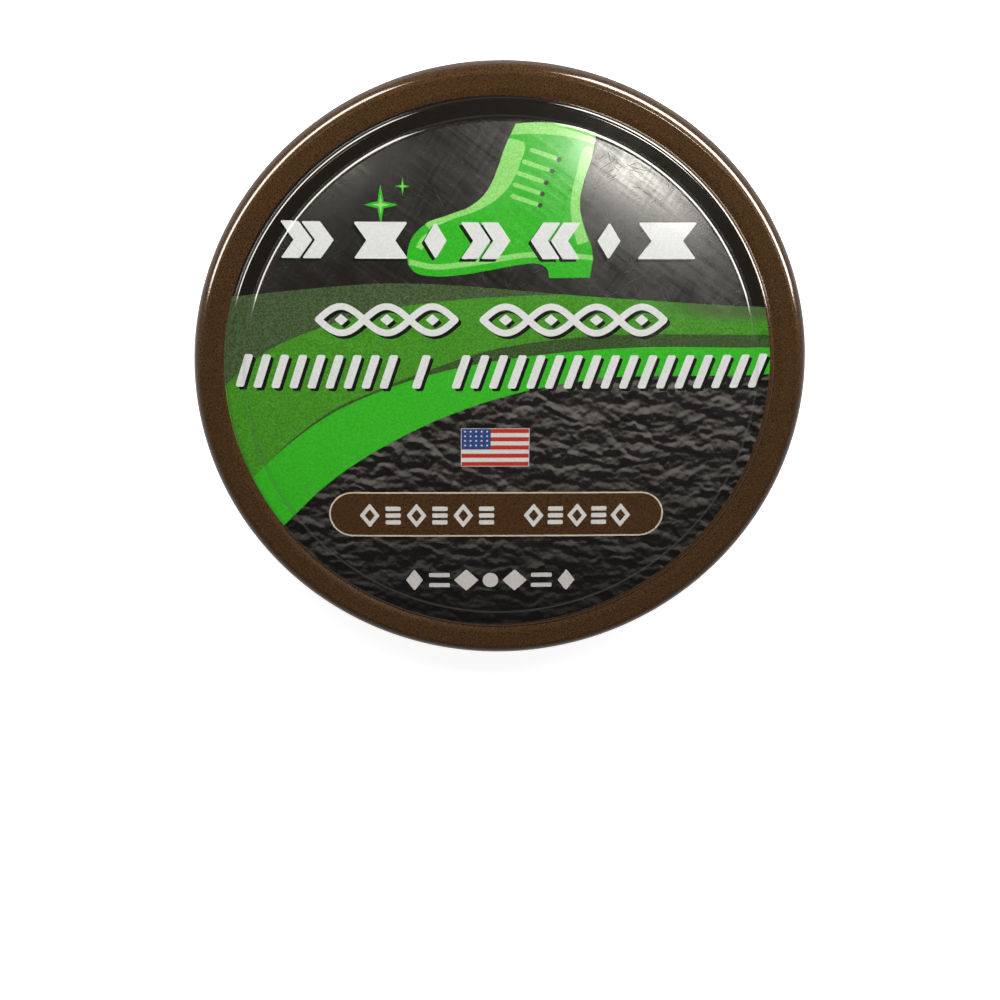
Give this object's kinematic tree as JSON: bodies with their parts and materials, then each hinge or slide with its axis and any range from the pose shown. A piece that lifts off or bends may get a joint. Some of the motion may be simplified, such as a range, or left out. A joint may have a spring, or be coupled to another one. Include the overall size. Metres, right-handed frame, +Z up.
{
  "type": "shoe polish tin",
  "caption": "Flat round shoe polish tin: shallow slip lid with a stepped, slightly domed panel inside a rounded rim bead, drawn base pan, cake of wax polish and a butterfly key that prises the lid.",
  "frame": {"origin": "centre of the flat bottom panel, on the surface the tin stands on", "axes": "+Z up through the lid, +Y the reading direction of the label, the opener key at -Y"},
  "size_m": [0.0896, 0.0921, 0.0251],
  "materials": {
    "printed_lid": "lithographed tinplate, glossy varnish",
    "bare_tinplate": "bare tinplate, satin",
    "brown_wax": "poured wax, semi-gloss",
    "key_steel": "plated spring steel, satin"
  },
  "bodies": {
    "base": {"base_pan": "bare_tinplate", "polish_cake": "brown_wax", "key_rivet": "key_steel"},
    "lid": {"lid": "printed_lid"},
    "key": {"opener_key": "key_steel"}
  },
  "joints": [
    {"name": "lid_lift", "type": "slide", "parent": "base", "child": "lid", "axis": [0, 0, 1], "range_m": [0, 0.03]},
    {"name": "key_twist", "type": "hinge", "parent": "base", "child": "key", "pos_m": [0, -0.0445, 0.0112], "axis": [0, -1, 0], "range_deg": [-90, 90]}
  ]
}
